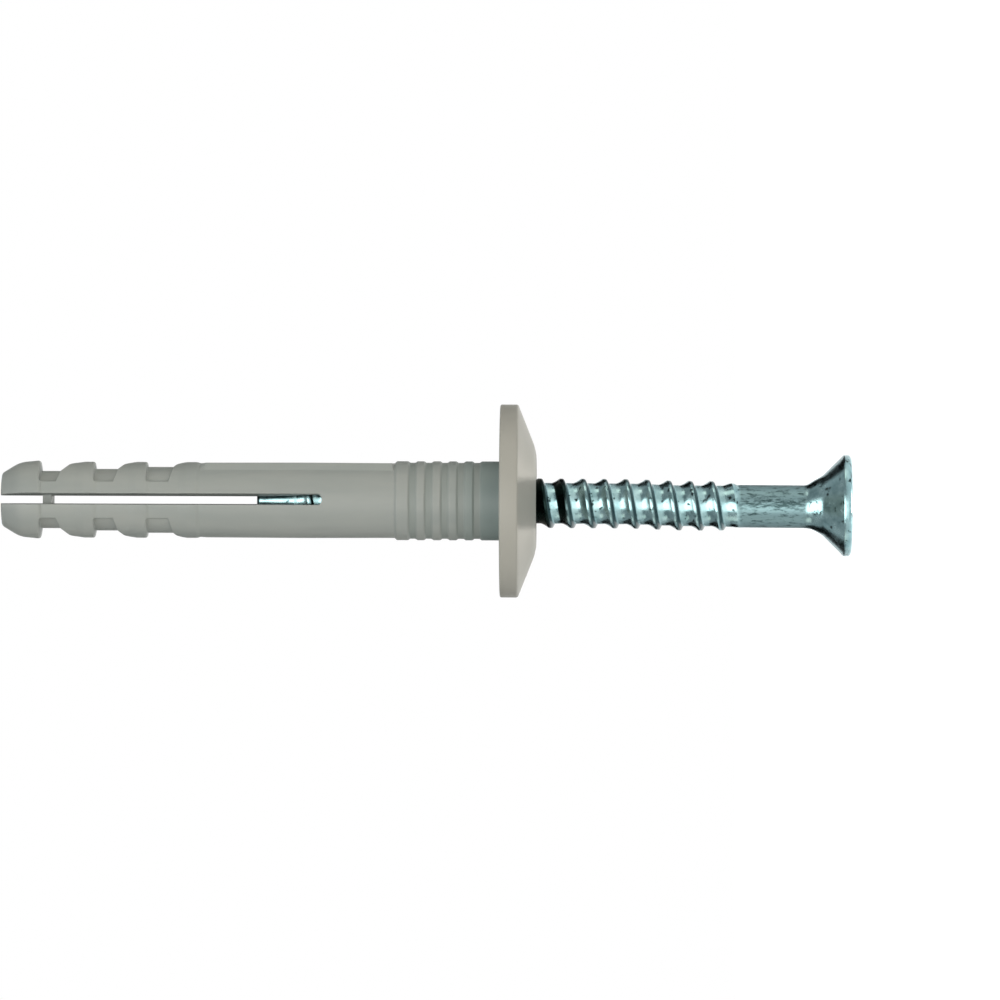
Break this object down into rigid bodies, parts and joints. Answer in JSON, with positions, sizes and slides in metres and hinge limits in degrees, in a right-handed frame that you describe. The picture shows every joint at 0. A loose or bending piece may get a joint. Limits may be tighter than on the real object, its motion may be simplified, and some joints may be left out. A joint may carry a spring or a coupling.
{
  "type": "hammer fixing plug",
  "caption": "Grey plastic hammer-in wall plug with a wide round collar, ribbed neck and barbed, slit sleeve, its countersunk screw nail driven part of the way in.",
  "frame": {"origin": "on the plug's axis, at the flat of the screw head, which is its lowest face as it stands", "axes": "+Z along the axis, from the screw head to the nose of the sleeve; the slit goes right through along Y; the barbs' pockets face +X and -X"},
  "size_m": [0.0154, 0.0154, 0.0682],
  "materials": {
    "grey_nylon": "satin",
    "zinc_plated_steel": "gloss"
  },
  "bodies": {
    "root": {"plug_sleeve": "grey_nylon", "nail_screw": "zinc_plated_steel"}
  },
  "joints": []
}
